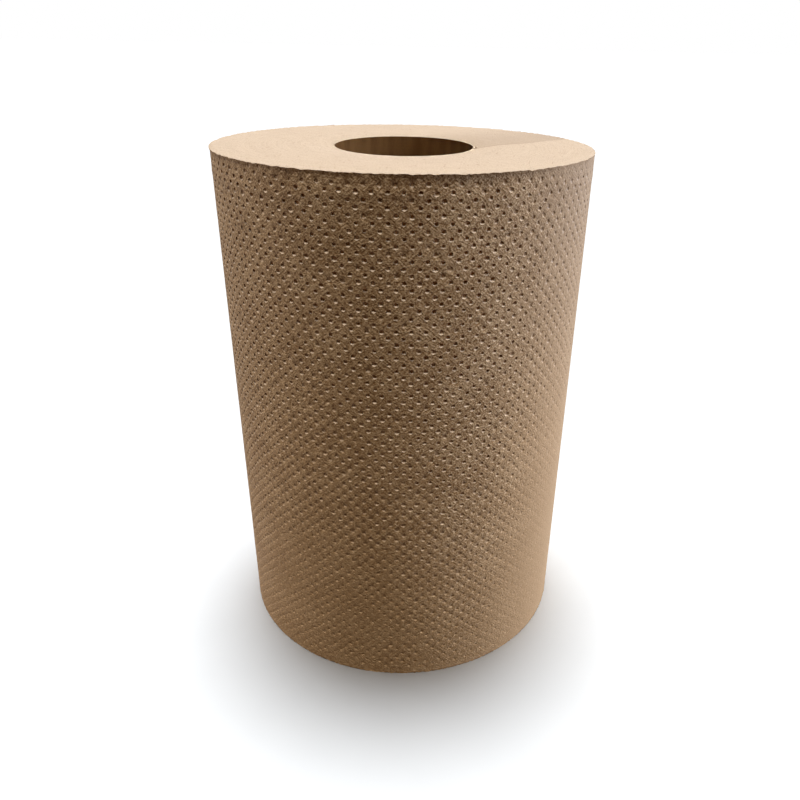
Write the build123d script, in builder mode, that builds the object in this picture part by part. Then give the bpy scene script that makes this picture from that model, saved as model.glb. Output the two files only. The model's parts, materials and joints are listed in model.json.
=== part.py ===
from build123d import *
from math import acos, degrees
import os

# A hard-wound paper towel roll, standing on one of its two sawn ends.
# The origin is the centre of that end, and +Z runs up through the core.

# Driving dimensions, in millimetres and degrees
web_width = 200.0  # width of the paper, which is the height of the roll
roll_diameter = 141.5  # over the last turn
core_bore = 52.0  # inside diameter of the cardboard core
core_wall = 0.8  # thickness of the core's spiral-wound board
turn_thickness = 0.3  # one embossed turn, as the step at the free end shows it
tail_direction = 118.0  # where the free end of the web lies, from +X towards +Y
start_plies = 3  # layers in the folded start of the web, on the core
start_direction = -8.0  # where that fold lies, from +X towards +Y

# Sizes that follow from them
roll_radius = roll_diameter / 2
bore_radius = core_bore / 2
core_radius = bore_radius + core_wall
start_rise = start_plies * turn_thickness
# The turn that passes over the fold comes down to the core along a tangent
landing_angle = degrees(acos(core_radius / (core_radius + start_rise)))

os.makedirs("parts", exist_ok=True)

# Core tube: board wound into a plain tube, and sawn to length together with the paper
with BuildPart() as core_tube:
    with BuildSketch():
        Circle(core_radius)
        Circle(bore_radius, mode=Mode.SUBTRACT)
    extrude(amount=web_width)
core_tube.part.label = "core_tube"

# Towel web: all the turns of the paper, pressed together into one body.
# Outside is the last turn of the spiral, drawn as two half circles whose centres lie half a turn's
# thickness apart, so that the outline closes in the step of the free end, the tail.
with BuildPart() as towel_web:
    with BuildSketch(Plane.XY.rotated((0, 0, tail_direction))):
        with BuildLine():
            last_half = CenterArc((0, 0), roll_radius, 0, 180)
            half_before = CenterArc((-turn_thickness / 2, 0), roll_radius - turn_thickness / 2, 180, 180)
            Line(half_before @ 1, last_half @ 0)
        make_face()
    extrude(amount=web_width)
    # Inside, the first turn lies on the core, apart from a wedge-shaped gap beside the folded start
    with BuildSketch(Plane.XY.rotated((0, 0, start_direction))):
        with BuildLine():
            seat = CenterArc((0, 0), core_radius, landing_angle, 360 - landing_angle)
            Polyline(seat @ 1, (core_radius + start_rise, 0), seat @ 0)
        make_face()
    extrude(amount=web_width, mode=Mode.SUBTRACT)
towel_web.part.label = "towel_web"

for piece in (core_tube.part, towel_web.part):
    export_step(piece, f"parts/{piece.label}.step")
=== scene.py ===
import json
import math

import bmesh
import bpy
import numpy as np
from mathutils import Matrix, Vector


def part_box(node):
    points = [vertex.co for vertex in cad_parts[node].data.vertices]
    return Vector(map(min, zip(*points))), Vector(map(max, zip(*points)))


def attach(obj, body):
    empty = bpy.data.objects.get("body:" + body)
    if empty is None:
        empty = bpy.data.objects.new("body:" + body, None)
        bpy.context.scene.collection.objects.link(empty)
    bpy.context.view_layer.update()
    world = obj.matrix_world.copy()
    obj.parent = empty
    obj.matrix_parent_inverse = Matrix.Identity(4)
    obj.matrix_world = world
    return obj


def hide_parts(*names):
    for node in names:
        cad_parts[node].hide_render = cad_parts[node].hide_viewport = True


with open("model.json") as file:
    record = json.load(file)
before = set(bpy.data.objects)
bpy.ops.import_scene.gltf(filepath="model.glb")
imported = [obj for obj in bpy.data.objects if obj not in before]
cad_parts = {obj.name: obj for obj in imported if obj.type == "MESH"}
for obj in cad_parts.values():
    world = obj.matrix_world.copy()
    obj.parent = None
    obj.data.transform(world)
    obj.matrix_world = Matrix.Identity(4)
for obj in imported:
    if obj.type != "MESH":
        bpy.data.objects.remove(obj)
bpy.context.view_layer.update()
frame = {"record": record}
bpy.ops.object.select_all(action="DESELECT")


# Core tube: the tube of brown board that the paper is wound on. A strip of board is wound edge to edge in a
# helix and glued, so a fine seam climbs the bore. The tube is sawn to length together with the paper.
core_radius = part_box("core_tube")[1].x
roll_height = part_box("core_tube")[1].z
bore_radius = next(m["dims"]["r_mm"] for m in frame["record"]["mounts"] if m["name"] == "core_bore") / 1000
strip_climb = 0.087  # rise of the strip in one turn round the tube
seam_chamfer = 0.00016  # worn edge of the strip, which makes the seam a fine groove
seam_below_rim = 0.060  # how far under the upper end the seam passes the back of the bore
strip_facets = 96
end_dish = 0.00075  # how far the ends sink towards the bore, where the saw has pulled the core down
dish_tilt = 0.00035  # how much deeper than that they are at the front, and shallower at the back
dish_reach = 0.006  # how far out from the core the dish runs

BORE_BROWN = (0.218, 0.104, 0.032, 1)
BORE_DARK = (0.153, 0.064, 0.016, 1)
BOARD_EDGE = (0.53, 0.40, 0.285, 1)
BOARD_SHADE = (0.36, 0.25, 0.16, 1)


def edit(piece):
    """Opens one piece alone for editing, with nothing on it selected."""
    bpy.ops.object.select_all(action="DESELECT")
    piece.select_set(True)
    bpy.context.view_layer.objects.active = piece
    bpy.ops.object.mode_set(mode="EDIT")
    bpy.ops.mesh.select_all(action="DESELECT")


def pick(kind, test):
    """Selects, on the piece being edited, only the corners, edges or faces that pass the test."""
    bpy.ops.mesh.select_mode(type={"verts": "VERT", "edges": "EDGE", "faces": "FACE"}[kind])
    bpy.ops.mesh.select_all(action="DESELECT")
    shape = bmesh.from_edit_mesh(bpy.context.edit_object.data)
    for element in getattr(shape, kind):
        if test(element):
            element.select_set(True)
    bmesh.update_edit_mesh(bpy.context.edit_object.data)


def done():
    bpy.ops.object.mode_set(mode="OBJECT")


def saw(low, high):
    """Cuts the piece being edited level at two heights, and throws the ends away."""
    for height, side in ((low, {"clear_inner": True}), (high, {"clear_outer": True})):
        bpy.ops.mesh.select_all(action="SELECT")
        bpy.ops.mesh.bisect(plane_co=(0, 0, height), plane_no=(0, 0, 1), threshold=1e-7, **side)


def open_edge_at(height):
    """A test for edges of an open rim at one height."""
    return lambda edge: edge.is_boundary and all(abs(v.co.z - height) < 1e-6 for v in edge.verts)


bpy.ops.mesh.primitive_plane_add(size=1)
core = bpy.context.object
core.name = core.data.name = "core_tube_board"
core.rotation_euler = (math.pi / 2, 0, 0)
core.scale = (core_radius - bore_radius, strip_climb, 1)
turns_below = math.ceil(roll_height / strip_climb)
seam_start = roll_height - seam_below_rim - strip_climb * (0.25 + turns_below)
core.location = ((core_radius + bore_radius) / 2, 0, seam_start + strip_climb / 2)
bpy.ops.object.transform_apply(location=True, rotation=True, scale=True)
edit(core)
pick("verts", lambda v: v.co.x < (core_radius + bore_radius) / 2)
bpy.ops.mesh.bevel(affect="VERTICES", offset_type="OFFSET", offset=seam_chamfer, segments=1)
pick("edges", lambda e: abs(e.verts[0].co.z - e.verts[1].co.z) < 1e-7)
bpy.ops.mesh.delete(type="EDGE")
done()
winding = core.modifiers.new("strip winding", "SCREW")
winding.axis = "Z"
winding.angle = 2 * math.pi
winding.screw_offset = strip_climb
winding.iterations = turns_below + 2
winding.steps = winding.render_steps = strip_facets
winding.use_merge_vertices = True
winding.merge_threshold = 1e-6
bpy.ops.object.modifier_apply(modifier=winding.name)
edit(core)
bpy.ops.mesh.select_all(action="SELECT")
bpy.ops.mesh.remove_doubles(threshold=1e-6)
saw(0, roll_height)
for height in (0, roll_height):
    pick("edges", open_edge_at(height))
    bpy.ops.mesh.bridge_edge_loops()
bpy.ops.mesh.select_all(action="SELECT")
bpy.ops.mesh.normals_make_consistent(inside=False)
done()


def corners(piece):
    """The corners of a piece's mesh, as an array with a row for each."""
    spots = np.empty(3 * len(piece.data.vertices))
    piece.data.vertices.foreach_get("co", spots)
    return spots.reshape(-1, 3)


def set_corners(piece, spots):
    piece.data.vertices.foreach_set("co", spots.ravel())
    piece.data.update()


def dish(spots):
    """How far each spot of a sawn end is sunk, from the core outwards."""
    radius, angle = np.hypot(spots[:, 0], spots[:, 1]), np.arctan2(spots[:, 1], spots[:, 0])
    outward = np.maximum(radius - core_radius, 0)
    return (end_dish - dish_tilt * np.sin(angle)) * np.exp(-outward / dish_reach)


spots = corners(core)
sunk = dish(spots)
spots[:, 2] = np.clip(spots[:, 2], sunk, roll_height - sunk)
set_corners(core, spots)
bpy.ops.object.shade_smooth_by_angle(angle=math.radians(35))


class Wire:
    """One output of a material's nodes. Sums on wires add Math nodes, and node() adds any other kind."""

    def __init__(self, tree, socket=None):
        self.tree = tree
        self.socket = socket

    def node(self, kind, settings={}, inputs={}, output=0):
        made = self.tree.nodes.new("ShaderNode" + kind)
        for name, value in settings.items():
            if name == "stops":
                for _ in value[2:]:
                    made.color_ramp.elements.new(0.5)
                for stop, (place, colour) in zip(made.color_ramp.elements, value):
                    stop.position, stop.color = place, colour
            else:
                setattr(made, name, value)
        for name, value in inputs.items():
            if isinstance(value, Wire):
                self.tree.links.new(value.socket, made.inputs[name])
            else:
                made.inputs[name].default_value = value
        return Wire(self.tree, made.outputs[output])

    def maths(self, operation, *terms):
        return self.node("Math", {"operation": operation}, dict(enumerate(terms)))

    def __add__(self, other):
        return self.maths("ADD", self, other)

    def __sub__(self, other):
        return self.maths("SUBTRACT", self, other)

    def __rsub__(self, other):
        return self.maths("SUBTRACT", other, self)

    def __mul__(self, other):
        return self.maths("MULTIPLY", self, other)

    __radd__ = __add__
    __rmul__ = __mul__

    def ramp(self, low, high, start=0.0, end=1.0):
        """Runs smoothly from start to end as this value goes from low to high."""
        return self.node("MapRange", {"interpolation_type": "SMOOTHSTEP"},
                         {"Value": self, "From Min": low, "From Max": high, "To Min": start, "To Max": end})

    def blend(self, first, second):
        """A colour between two, by this value."""
        return self.node("Mix", {"data_type": "RGBA"}, {0: self, 6: first, 7: second}, output=2)

    def stretched(self, scale, turn=0.0):
        """Coordinates turned about Z and then scaled, so that a pattern on them is drawn out at a slant."""
        turned = self.node("VectorRotate", {"rotation_type": "Z_AXIS"}, {"Vector": self, "Angle": turn})
        return self.node("VectorMath", {"operation": "MULTIPLY"}, {0: turned, 1: scale})

    def noise(self, scale, detail=2.0, roughness=0.5):
        inputs = {"Vector": self, "Scale": scale, "Detail": detail, "Roughness": roughness}
        return self.node("TexNoise", {}, inputs)

    def bump(self, height, distance, strength=1.0, under=None):
        more = {"Normal": under} if under else {}
        return self.node("Bump", {}, {"Height": height, "Distance": distance, "Strength": strength, **more})


def finish_named(name, shader_values):
    """A new material with one shader, whose constant values are set on the shader itself."""
    material = bpy.data.materials.new(name)
    material.use_nodes = True
    shader = material.node_tree.nodes["Principled BSDF"]
    for socket, value in shader_values.items():
        shader.inputs[socket].default_value = value
    return material, Wire(material.node_tree), shader


def feed(shader, **wires):
    for socket, wire in wires.items():
        wire.tree.links.new(wire.socket, shader.inputs[socket.replace("_", " ")])


board, start, shader = finish_named("core_board", {"Specular IOR Level": 0.25})
place = start.node("TexCoord", output="Object")
streaks = place.stretched((260, 260, 60)).noise(1.0, 4)
fibres = place.noise(1900, 3)
feed(shader, Base_Color=(streaks * 0.7 + fibres * 0.3).ramp(0.36, 0.66).blend(BORE_DARK, BORE_BROWN),
     Roughness=fibres.ramp(0.2, 0.8, 0.7, 0.9),
     Normal=place.bump(fibres * 0.5 + streaks, 0.00006))
sawn_board, start, shader = finish_named("sawn_board", {"Specular IOR Level": 0.2, "Roughness": 0.9})
place = start.node("TexCoord", output="Object")
fibres = place.noise(2400, 3)
feed(shader, Base_Color=fibres.ramp(0.3, 0.6).blend(BOARD_SHADE, BOARD_EDGE),
     Normal=place.bump(fibres, 0.0001))
core.data.materials.append(board)
core.data.materials.append(sawn_board)
for face in core.data.polygons:
    face.material_index = 1 if abs(face.normal.z) > 0.8 else 0
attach(core, "root")
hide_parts("core_tube")


# Towel web: one long strip of unbleached paper, dimpled between a pinned steel roll and a rubber one, then
# wound tight on the core and sawn to length with it, so both ends are cut flat through every turn.
# The last turn is modelled as a flat embossed sheet, which is trimmed and wound round the rest of the roll.
roll_radius = -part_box("towel_web")[0].x
turn_thickness = 0.0003
tail_angle = math.radians(118)  # where the free end lies, from +X towards +Y
tail_tuck = 0.0016  # how far the turn below runs on under the free end
tail_lift = 0.0007  # how far the free end stands off that turn
tail_lift_reach = 0.014  # how far back from the free end that goes
tail_ragged = 0.00025  # how unevenly the knife has cut the free end
tail_fray = 0.0001  # how far its fibres stand out
fold_angle = math.radians(-8)  # where the folded start of the web lies on the core
fold_rise = 3 * turn_thickness
pit_pitch_along = 0.00486
pit_pitch_across = 0.00458
pit_half_width = 0.00104
pit_half_height = 0.00082
pit_depth = 0.00070
pit_size_spread, pit_depth_spread = 0.08, 0.21  # how much the pits differ, as shares of these sizes
pit_depth_drift, drift_size = 0.15, 0.018  # how much their depth drifts over the paper, and over what length
missed_share, missed_depth = 0.03, 0.4  # how many pins have hardly marked the paper, and how deep those went
pit_wander, most_wander = 0.00011, 0.0003  # how far a pit strays from its place
pit_slant, most_slant = 0.00016, 0.0004  # how far its bottom strays from its middle
rim_pit_depth, rim_pit_reach = 0.2, 0.006  # what is left of their depth at the rims, and how far in
pit_corner_pull = 0.9  # how far out the slanting corners of a pit's lip lie, which rounds it
crisp_depth = 0.6  # pits that have more than this share of their depth have a sharp lip
lip_sink = 0.00003
paper_unevenness = 0.000015
pressed_from, pressed_to = 0.17, 0.015  # heights where the pits begin to be pressed out, and where most are
pressed_swing, pressed_swings, swing_start = 0.018, 4, 0.28  # how the first height swings round the roll
# Sides of the roll, as a direction in degrees from +X, how far both ways from there the side is full, and how
# far before and after it has faded out
pressed_side = (-90, 70, 110, 110)
rubbed_side = (-15, 24, 58, 80)
smooth_side = (80, 100, 150, 145)
# The shares of the pits' depth, their painted shade and highlight, and the paper's grain that are lost on
# those sides
pressed_loss = {"depth": 0.76, "colour": 0.86, "grain": 0.52}
rubbed_loss = {"depth": 0.62, "colour": 0.76, "grain": 0.52}
smooth_loss = {"grain": 0.45}
# Painted shade: the paper is darkened towards the top of the rubbed side, standing in for the light falling
# off there
top_shade_share = 0.22  # how much darker the paper is at the top of the rubbed side
top_row_below_rim = 0.00095
rim_burr = 0.00032  # how far the saw drags the paper out at the upper rim
burr_depth = 0.0012  # how far below the rim that lip reaches
rim_tear = 0.00017  # how raggedly the saw leaves the rims
rim_fray = 0.00006
rim_rub = 0.7  # how much of the dragged lip is gone on the rubbed side
clamp_line = 0.0071  # how far below the upper rim the saw's clamp has raised a ridge
clamp_ridge, clamp_width, clamp_wander = 0.00011, 0.0011, 0.0012
wrinkle_start, wrinkle_angle = (0.0295, -0.0033), math.radians(35)  # on the sawn ends, beside the core
ring_facets = 180
ring_count = 24
ring_unevenness = 0.00004  # how far some turns stand below the others on the sawn ends
end_margin = 0.0012  # width of the band between the rings and the last turn
chance = np.random.default_rng(4)

KRAFT_DARK = (0.178, 0.077, 0.016, 1)
KRAFT_PAINTED_TOP_SHADE = (0.02, 0.009, 0.003, 1)
KRAFT_BROWN = (0.37, 0.207, 0.090, 1)
KRAFT_PALE = (0.62, 0.40, 0.22, 1)
# Painted highlight for the pits' lower walls and painted shade for their upper walls and floors
PIT_PAINTED_HIGHLIGHT = (0.80, 0.58, 0.40, 1)
PIT_PAINTED_SHADE = (0.245, 0.070, 0.001, 1)
SHEEN = (1.0, 0.95, 0.88, 1)
SAWN_PALE = (0.444, 0.312, 0.205, 1)
SAWN_SHADE = (0.312, 0.209, 0.130, 1)
SAWN_SPECK_AND_SHADE = (0.24, 0.13, 0.07, 1)

web_length = 2 * math.pi * roll_radius + tail_tuck
step_along, step_across = pit_pitch_along / 2, pit_pitch_across / 2
columns = math.ceil(web_length / step_along) + 4
rows = math.ceil(roll_height / step_across) + 4
sheet_left = -2 * step_along
sheet_foot = roll_height - top_row_below_rim - (rows - 2) * step_across


def patches(along, across, size):
    """Slow changes of chance over the sheet, from -1 to 1, in patches of about one size."""
    u, v = (along - along.min()) / size, (across - across.min()) / size
    i, j = u.astype(int), v.astype(int)
    knots = chance.uniform(-1, 1, (i.max() + 2, j.max() + 2))
    u, v = (3 - 2 * (u - i)) * (u - i) ** 2, (3 - 2 * (v - j)) * (v - j) ** 2
    left = knots[i, j] * (1 - v) + knots[i, j + 1] * v
    right = knots[i + 1, j] * (1 - v) + knots[i + 1, j + 1] * v
    return left * (1 - u) + right * u


def on_side(along, side):
    """How far a place on the sheet lies on a side of the roll, from 0 to 1."""
    middle, full, before, after = side
    away = (np.degrees(tail_angle + along / roll_radius) - middle + 180) % 360 - 180
    limit = np.where(away < 0, before, after)
    near = np.clip((limit - np.abs(away)) / (limit - full), 0, 1)
    return (3 - 2 * near) * near ** 2


def wear(along, across):
    """How far the pits at a place on the sheet are pressed out, and how far they are rubbed."""
    uneven = pressed_swing * np.sin(pressed_swings * (tail_angle + along / roll_radius) + swing_start)
    low = np.clip((pressed_from - uneven - across) / (pressed_from - pressed_to), 0, 1)
    return (3 - 2 * low) * low ** 2 * on_side(along, pressed_side), on_side(along, rubbed_side)


# The sheet lies flat first, with pits at alternate corners of a grid, each opened into a ring
bpy.ops.mesh.primitive_grid_add(x_subdivisions=columns, y_subdivisions=rows, size=1)
web = bpy.context.object
web.name = web.data.name = "towel_web_paper"
web.scale = (columns * step_along, rows * step_across, 1)
web.location = (sheet_left + columns * step_along / 2, sheet_foot + rows * step_across / 2, 0)
bpy.ops.object.transform_apply(location=True, rotation=True, scale=True)


def grid_place(along, across):
    """The nearest grid corner, as its column and row."""
    column = np.rint((along - sheet_left) / step_along).astype(int)
    row = np.rint((across - sheet_foot) / step_across).astype(int)
    return column, row


def has_pit(column, row):
    inside = (column > 0) & (column < columns) & (row > 0) & (row < rows)
    return inside & ((column + row - rows) % 2 == 0)


edit(web)
pick("verts", lambda v: has_pit(*grid_place(np.array(v.co.x), np.array(v.co.y))))
bpy.ops.mesh.bevel(affect="VERTICES", offset_type="OFFSET", offset=pit_half_height,
                   segments=2, profile=0.25)
done()

spots = corners(web)
column, row = grid_place(spots[:, 0], spots[:, 1])
centre = np.stack([sheet_left + column * step_along, sheet_foot + row * step_across], 1)
out = spots[:, :2] - centre
reach = np.hypot(out[:, 0], out[:, 1])
in_pit = has_pit(column, row)
bottom = in_pit & (reach < 1e-6)
lip = in_pit & ~bottom
out[lip] /= reach[lip, None]
shape = (columns + 1, rows + 1)
steps = np.arange(shape[0]) * step_along, np.arange(shape[1]) * step_across
all_along, all_across = np.meshgrid(*steps, indexing="ij")
size = np.clip(chance.normal(1, pit_size_spread, shape), 0.75, 1.2)
deep = np.clip(chance.normal(1, pit_depth_spread, shape), 0.45, 1.45)
deep *= 1 + pit_depth_drift * patches(all_along, all_across, drift_size)
deep[chance.uniform(size=shape) < missed_share] *= missed_depth
from_rim = np.minimum(roll_height - sheet_foot - all_across, sheet_foot + all_across)
pressed_out, rubbed = wear(sheet_left + all_along, sheet_foot + all_across)
deep *= (1 - pressed_loss["depth"] * pressed_out) * (1 - rubbed_loss["depth"] * rubbed)
deep *= np.clip(rim_pit_depth + (from_rim - 0.0008) / rim_pit_reach, rim_pit_depth, 1)
shift = np.clip(chance.normal(0, pit_wander, (*shape, 2)), -most_wander, most_wander)
slant = np.clip(chance.normal(0, pit_slant, (*shape, 2)), -most_slant, most_slant)
size, deep, shift, slant = (of_pit[column, row] for of_pit in (size, deep, shift, slant))
flat = centre + shift * in_pit[:, None]
slanting = np.abs(out[:, 0] * out[:, 1]) > 0.1
out[slanting] *= pit_corner_pull
flat[lip] += (out * size[:, None] * (pit_half_width, pit_half_height))[lip]
flat[bottom] += slant[bottom]
rise = chance.normal(0, paper_unevenness, len(spots))
rise[lip] -= lip_sink
rise[bottom] -= pit_depth * deep[bottom]
from_clamp = roll_height - clamp_line - flat[:, 1]
from_clamp += clamp_wander * patches(flat[:, 0], flat[:, 1], 0.025)
rise += clamp_ridge * np.exp(-(from_clamp / clamp_width) ** 2)
set_corners(web, np.column_stack([flat, rise]))


def mark_sheet(name, values, domain="POINT"):
    """Stores a value at each corner of the sheet, or of its faces, for the finish to read by name."""
    web.data.attributes.new(name, "FLOAT", domain).data.foreach_set("value", values)


pressed_out, rubbed = wear(flat[:, 0], flat[:, 1])
pit_paint_left = (1 - pressed_loss["colour"] * pressed_out) * (1 - rubbed_loss["colour"] * rubbed)
grain_left = (1 - pressed_loss["grain"] * pressed_out) * (1 - rubbed_loss["grain"] * rubbed)
grain_left *= 1 - smooth_loss["grain"] * on_side(flat[:, 0], smooth_side)
mark_sheet("fresh", pit_paint_left)
mark_sheet("grainy", grain_left)
# The painted shade towards the top of the rubbed side is stored for the finish
mark_sheet("dusky", top_shade_share * rubbed * np.clip(2 * flat[:, 1] / roll_height - 1, 0, 1))
mark_sheet("pressed", np.where(bottom, deep, 0))
# Each pit's wall is marked from -1 at its upper lip to 1 at its lower lip, for painted shade on the upper
# wall and a painted highlight on the lower wall
corner_spot = np.empty(len(web.data.loops), int)
web.data.loops.foreach_get("vertex_index", corner_spot)
first_corner = np.empty(len(web.data.polygons), int)
web.data.polygons.foreach_get("loop_start", first_corner)
corner_count = np.diff(np.append(first_corner, len(corner_spot)))
pit_wall = np.repeat(np.logical_or.reduceat(bottom[corner_spot], first_corner), corner_count)
shade_to_highlight = -(out[:, 1] * deep)[corner_spot]
mark_sheet("wall_side", np.where(pit_wall & lip[corner_spot], shade_to_highlight, 0), "CORNER")
ends = np.empty(2 * len(web.data.edges), int)
web.data.edges.foreach_get("vertices", ends)
first, second = ends.reshape(-1, 2).T
crisp = lip[first] & lip[second] & (column[first] == column[second]) & (row[first] == row[second])
web.data.edges.foreach_set("use_edge_sharp", crisp & (deep[first] > crisp_depth))

# The sheet is trimmed through the pits at all four sides, as the saw and the cut-off knife leave it
edit(web)
for place_cut, facing in (((0, 0, 0), (-1, 0, 0)), ((web_length, 0, 0), (1, 0, 0)),
                          ((0, 0, 0), (0, -1, 0)), ((0, roll_height, 0), (0, 1, 0))):
    bpy.ops.mesh.select_all(action="SELECT")
    bpy.ops.mesh.bisect(plane_co=place_cut, plane_no=facing, clear_outer=True, threshold=1e-7)
for height in (burr_depth, roll_height - burr_depth):
    bpy.ops.mesh.select_all(action="SELECT")
    bpy.ops.mesh.bisect(plane_co=(0, height, 0), plane_no=(0, 1, 0), threshold=1e-7)
bpy.ops.mesh.select_all(action="SELECT")
bpy.ops.mesh.quads_convert_to_tris(quad_method="SHORTEST_DIAGONAL", ngon_method="BEAUTY")
pick("edges", lambda e: e.is_boundary and abs(e.verts[0].co.y - e.verts[1].co.y) < 1e-7)
bpy.ops.mesh.subdivide(number_cuts=1)
done()

# The sheet keeps its flat measures for its finish, and is wound counter-clockwise from the free end inwards
along, across, rise = corners(web).T
flat_measure = web.data.attributes.new("flat_web", "FLOAT_VECTOR", "POINT")
flat_measure.data.foreach_set("vector", np.column_stack([along, across, rise]).ravel())
turn = along / (2 * math.pi * roll_radius)
sunk = np.where(turn > 0.5, turn_thickness / 2 * (1 + np.cos(2 * math.pi * np.minimum(turn, 1))), 0)
from_rim = np.minimum(across, roll_height - across)
on_rim = from_rim < 1e-7
uneven_burr = 1 + 0.5 * patches(along, across, 0.03) + 0.25 * patches(along, across, 0.004)
burr = np.clip(1 - (roll_height - across) / burr_depth, 0, 1) * rim_burr * uneven_burr
burr *= 1 - rim_rub * on_side(along, rubbed_side)
burr[on_rim] += chance.normal(0, rim_fray, on_rim.sum())
torn = np.zeros(len(along))
torn[on_rim] = np.clip(np.abs(chance.normal(0, rim_tear, on_rim.sum())), 0, 3 * rim_tear)
lift = tail_lift * np.clip(1 - along / tail_lift_reach, 0, 1) ** 2
lift *= 1 + 0.7 * np.sin(across * 70) * np.sin(across * 23 + 1)
radius = roll_radius - sunk + rise + burr + lift
at_tail, at_tuck = along < 1e-7, along > web_length - 1e-7
drawn_out = tail_ragged * (1.2 + np.sin(across * 61 + 2) * np.sin(across * 17))
drawn_out += np.abs(chance.normal(0, tail_fray, len(along)))
angle = tail_angle + (along - at_tail * drawn_out) / roll_radius
level = np.where(across > roll_height / 2, across - torn, across + torn)
set_corners(web, np.column_stack([radius * np.cos(angle), radius * np.sin(angle), level]))


def at_cut_end(edge):
    """A test for the edges of the free end, and of the end that is tucked under it."""
    return edge.is_boundary and any(all(at[v.index] for v in edge.verts) for at in (at_tail, at_tuck))


edit(web)
pick("edges", at_cut_end)
bpy.ops.mesh.bridge_edge_loops()
done()

# Each sawn end is a disc of rings, from the core out to just inside the last turn
end_radius = roll_radius - turn_thickness - end_margin
ring_radii = np.linspace(core_radius, end_radius, ring_count + 1)
bpy.ops.mesh.primitive_circle_add(vertices=ring_facets, radius=core_radius, location=(0, 0, roll_height))
upper = bpy.context.object
bpy.ops.object.transform_apply(location=True, rotation=True, scale=True)
edit(upper)
bpy.ops.mesh.select_all(action="SELECT")
for inner, outer in zip(ring_radii, ring_radii[1:]):
    bpy.ops.mesh.extrude_region()
    bpy.ops.transform.resize(value=(outer / inner, outer / inner, 1), center_override=(0, 0, roll_height))
# Extruding leaves corners and faces in an order of chance, so they are sorted by distance from a point
bpy.context.scene.cursor.location = (core_radius, core_radius / 3, roll_height)
bpy.ops.mesh.select_all(action="SELECT")
bpy.ops.mesh.sort_elements(type="CURSOR_DISTANCE", elements={"VERT", "EDGE", "FACE"})
done()
spots = corners(upper)
radius, angle = np.hypot(spots[:, 0], spots[:, 1]), np.arctan2(spots[:, 1], spots[:, 0])
band = np.rint((radius - core_radius) / (end_radius - core_radius) * ring_count).astype(int)
# The first turn climbs over the folded start and comes down to the core along a tangent
landing = math.acos(core_radius / (core_radius + fold_rise))
past_fold = angle - fold_angle
under = (band == 0) & (past_fold > -1e-6) & (past_fold < landing)
radius[under] = core_radius / np.cos(landing - past_fold[under])
uneven = np.concatenate([[0], np.abs(chance.normal(0, ring_unevenness, ring_count - 1)), [0]])
spots[:, 2] -= uneven[band] + dish(spots)
spots[:, 0], spots[:, 1] = radius * np.cos(angle), radius * np.sin(angle)
set_corners(upper, spots)
bpy.ops.object.duplicate()
lower = bpy.context.object
spots = corners(lower)
spots[:, 2] = roll_height - spots[:, 2]
set_corners(lower, spots)
for piece in (upper, lower, web):
    piece.select_set(True)
bpy.context.view_layer.objects.active = web
bpy.ops.object.join()


def open_outer_rim_at(height):
    """A test for the open edges at one end that lie well outside the core, which are its two outer rims."""
    def on_outer_rim(corner):
        return abs(corner.co.z - height) < 0.001 and corner.co.xy.length > core_radius + 0.005

    return lambda edge: edge.is_boundary and all(on_outer_rim(v) for v in edge.verts)


edit(web)
for height in (0, roll_height):
    pick("edges", open_outer_rim_at(height))
    bpy.ops.mesh.bridge_edge_loops()
pick("edges", lambda e: e.is_boundary)
bpy.ops.mesh.bridge_edge_loops()
bpy.ops.mesh.select_all(action="SELECT")
bpy.ops.mesh.normals_make_consistent(inside=False)
bpy.ops.mesh.quads_convert_to_tris(quad_method="SHORTEST_DIAGONAL", ngon_method="BEAUTY")
done()
bpy.ops.object.shade_smooth_by_angle(angle=math.radians(38))

kraft, start, shader = finish_named("kraft_paper", {
    "Specular IOR Level": 0.3, "Sheen Weight": 0.05, "Sheen Roughness": 0.5, "Sheen Tint": SHEEN})
flat_place = start.node("Attribute", {"attribute_name": "flat_web"}, output="Vector")
pressed, fresh, grainy, dusky, side = (
    start.node("Attribute", {"attribute_name": mark}, output="Fac")
    for mark in ("pressed", "fresh", "grainy", "dusky", "wall_side"))
clouds = flat_place.noise(70, 3)
crepe = flat_place.stretched((1550, 1550, 0)).noise(1.0, 3, 0.65)
fibres = flat_place.stretched((520, 1700, 0), 0.75).noise(1.0, 2)
fibres += flat_place.stretched((520, 1700, 0), -0.75).noise(1.0, 2)
tone = (clouds * 0.1 + crepe * 0.4 + fibres * 0.25 - 0.5) * grainy * 1.2 + 0.5
kraft_tones = (0.41, KRAFT_DARK), (0.5, KRAFT_BROWN), (0.59, KRAFT_PALE)
paper = tone.node("ValToRGB", {"stops": kraft_tones}, {"Fac": tone})
# Pits are painted with shade on their upper walls and floors, and with a highlight on their lower walls, by
# how strong the painting is kept at each place
pit_floor = pressed.ramp(0.0, 0.3)
pit_painted_shade, pit_painted_highlight = side.ramp(0.0, -0.6) * fresh, side.ramp(0.0, 0.6) * fresh
pits = (pit_painted_shade * 0.6 + pit_floor * fresh * 0.2).blend(paper, PIT_PAINTED_SHADE)
pits = (pit_painted_highlight * 0.8).blend(pits, PIT_PAINTED_HIGHLIGHT)
bowl = start.bump(pressed * (2 - pressed), -0.00018)
# The paper is darkened with painted shade towards the top of the rubbed side
feed(shader, Base_Color=dusky.blend(pits, KRAFT_PAINTED_TOP_SHADE),
     Roughness=crepe.ramp(0.2, 0.8, 0.68, 0.8) - pit_floor * 0.25,
     Normal=start.bump((crepe + fibres * 0.5) * (1 - pit_floor * 0.7) * grainy, 0.0007, under=bowl))
sawn_end, start, shader = finish_named("sawn_paper", {
    "Specular IOR Level": 0.2, "Roughness": 0.9, "Sheen Weight": 0.1, "Sheen Tint": SHEEN})
place = start.node("TexCoord", output="Object")
grain = place.noise(1800, 3, 0.6)
marks = place.stretched((120, 1400, 1), 0.6).noise(1.0, 3)
nicks = place.stretched((800, 300, 1), 0.2).noise(1.0, 2).ramp(0.655, 0.72)
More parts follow.
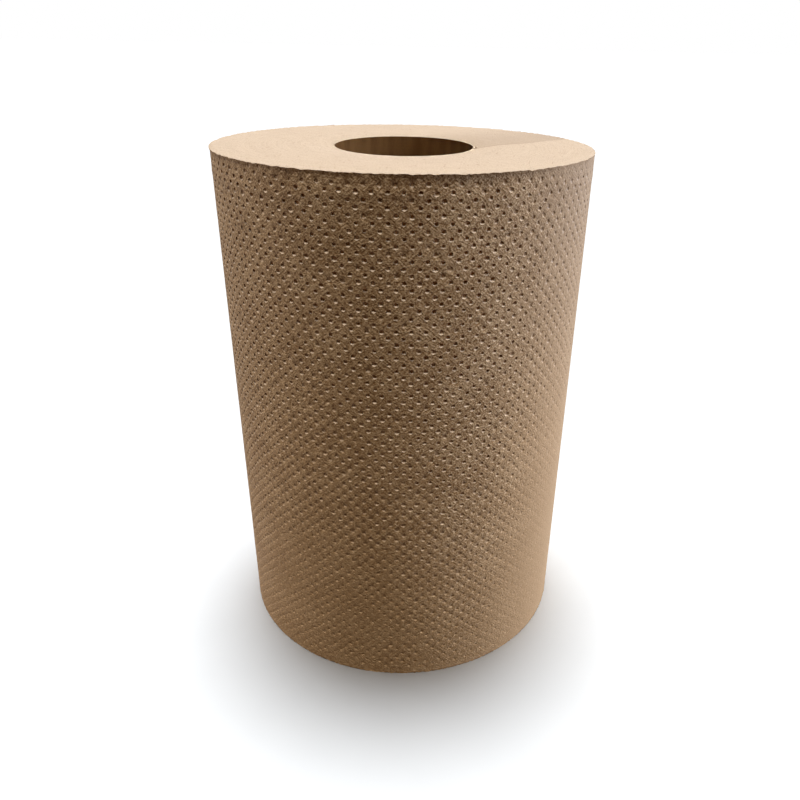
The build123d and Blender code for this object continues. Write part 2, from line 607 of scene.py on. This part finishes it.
# A wrinkle runs out from the folded start, drawn as a dark line of painted shade along its crease, and the
# end is darker in a sector behind it
x = start.node("SeparateXYZ", {}, {"Vector": place}, output="X")
y = start.node("SeparateXYZ", {}, {"Vector": place}, output="Y")
from_axis = start.maths("SQRT", x * x + y * y)
turns = start.node("CombineXYZ", {}, {"X": from_axis * 2600, "Y": x * 30, "Z": y * 30}).noise(1.0, 2)
from_x, from_y = x - wrinkle_start[0], y - wrinkle_start[1]
behind = from_y * math.cos(wrinkle_angle) - from_x * math.sin(wrinkle_angle)
outward = from_x * math.cos(wrinkle_angle) + from_y * math.sin(wrinkle_angle)
wander = place.noise(60, 2) * 0.004 - 0.002
darker_behind = (behind + wander).ramp(0.0, 0.0012) * behind.ramp(0.055, 0.008) * outward.ramp(-0.012, 0.006)
# The crease is drawn as a dark line of painted shade, with no fold in the surface
crease_shade = (behind + wander).ramp(-0.0005, 0.0001) * (behind + wander).ramp(0.0013, 0.0004)
crease_shade *= outward.ramp(0.042, 0.012) * outward.ramp(-0.004, -0.001)
tone = grain * 0.6 + marks * 0.2 + turns * 0.2 - darker_behind * 0.12 - crease_shade * 0.16
# Saw nicks are real dark marks, and the crease line with them is painted shade
nicks_and_crease_shade = nicks * 0.45 + crease_shade * 0.5
paper = tone.ramp(0.34, 0.58).blend(SAWN_SHADE, SAWN_PALE)
feed(shader, Base_Color=nicks_and_crease_shade.blend(paper, SAWN_SPECK_AND_SHADE),
     Normal=start.bump(grain + marks * 0.3 + turns * 0.4 - nicks, 0.00014))
web.data.materials.append(kraft)
web.data.materials.append(sawn_end)
for face in web.data.polygons:
    on_end = abs(face.normal.z) > 0.8 and min(face.center.z, roll_height - face.center.z) < 2 * end_dish
    face.material_index = 1 if on_end else 0
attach(web, "root")
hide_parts("towel_web")


# Floor: a wide, plain, pale board that the roll stands on. It takes the roll's soft shadow, and throws no
# light back at the roll.
floor_width = 80.0
FLOOR_SHADE = (0.750, 0.787, 0.822, 1)
FLOOR_PALE = (0.760, 0.797, 0.832, 1)
bpy.ops.object.select_all(action="DESELECT")
bpy.ops.mesh.primitive_plane_add(size=floor_width, location=(0, 0, 0))
floor = bpy.context.object
floor.name = "floor"
pale, start, shader = finish_named("pale_floor", {"Roughness": 0.9, "Specular IOR Level": 0.1})
grain = start.node("TexCoord", output="Object").noise(40, 2)
feed(shader, Base_Color=grain.ramp(0.3, 0.7).blend(FLOOR_SHADE, FLOOR_PALE))
floor.data.materials.append(pale)
floor.visible_diffuse = False


# Light: a soft studio. One light stands high over the front, a wide soft box at the right and a little
# behind, a weaker one at the left, and faint ones shine into the bore and from behind. The floor has its own
# light from above, for the shadow, and the dim warm room looks white to the camera.
ROOM_DIM = (0.09, 0.055, 0.022, 1)
ROOM_WHITE = (1, 1, 1, 1)


def far_light(name, azimuth, elevation, spread, power, colour, lit):
    """A far light on some pieces only, from an azimuth that is 0 at the front and 90 at the right."""
    lamp = bpy.data.lights.new(name, "SUN")
    lamp.energy, lamp.angle, lamp.color = power, math.radians(spread), colour
    light = bpy.data.objects.new(name, lamp)
    level, round_about = math.radians(elevation), math.radians(azimuth)
    towards = Vector((math.sin(round_about) * math.cos(level), -math.cos(round_about) * math.cos(level),
                      math.sin(level)))
    light.rotation_euler = towards.to_track_quat("Z", "Y").to_euler()
    light.light_linking.receiver_collection = lit
    bpy.context.scene.collection.objects.link(light)


def lit_pieces(name, *pieces):
    """A collection that tells a light which pieces to fall on."""
    lit = bpy.data.collections.new(name)
    for piece in pieces:
        lit.objects.link(piece)
    return lit


roll_only = lit_pieces("roll_only", core, web)
core_only = lit_pieces("core_only", core)
web_only = lit_pieces("web_only", web)
floor_only = lit_pieces("floor_only", floor)
far_light("overhead", azimuth=0, elevation=80, spread=18, power=4.6,
          colour=(0.883, 0.96, 0.99), lit=roll_only)
far_light("right_side", azimuth=106, elevation=9, spread=54, power=7.1,
          colour=(0.89, 1.06, 1.33), lit=web_only)
far_light("left_side", azimuth=-108, elevation=9, spread=30, power=1.95,
          colour=(0.98, 0.96, 0.91), lit=web_only)
far_light("into_bore", azimuth=90, elevation=25, spread=30, power=1.5,
          colour=(0.94, 1, 1.06), lit=core_only)
far_light("behind", azimuth=180, elevation=65, spread=60, power=0.6,
          colour=(1, 1, 1), lit=roll_only)
far_light("floor_light", azimuth=180, elevation=82, spread=22, power=4.3,
          colour=(1, 1, 1), lit=floor_only)
room = bpy.data.worlds.new("pale_room")
room.use_nodes = True
start = Wire(room.node_tree)
seen = start.node("LightPath", output="Is Camera Ray")
glow = seen.blend(ROOM_DIM, ROOM_WHITE)
feed(room.node_tree.nodes["Background"], Color=glow)
bpy.context.scene.world = room
bpy.context.scene.view_settings.view_transform = "Standard"


# Camera: close in front of the roll and above it, tilted down so that the upper end and its bore are seen,
# with a wide lens that makes the roll narrow towards its foot.
eye = Vector((0.0075, -0.2882, 0.2338))
pitch, yaw, roll = (math.radians(a) for a in (27.394, 0.845, -1.202))
ahead = Vector((math.sin(yaw) * math.cos(pitch), math.cos(yaw) * math.cos(pitch), -math.sin(pitch)))
across_view = Vector((math.cos(yaw), -math.sin(yaw), 0))
down_view = ahead.cross(across_view)
right = across_view * math.cos(roll) + down_view * math.sin(roll)
up = across_view * math.sin(roll) - down_view * math.cos(roll)
view = bpy.data.cameras.new("camera")
view.sensor_width = 36
view.lens = 32.40
view.shift_x, view.shift_y = -0.0371, 0.02
view.clip_start = 0.01
camera = bpy.data.objects.new("camera", view)
camera.matrix_world = Matrix.Translation(eye) @ Matrix((right, up, -ahead)).transposed().to_4x4()
bpy.context.scene.collection.objects.link(camera)
bpy.context.scene.camera = camera
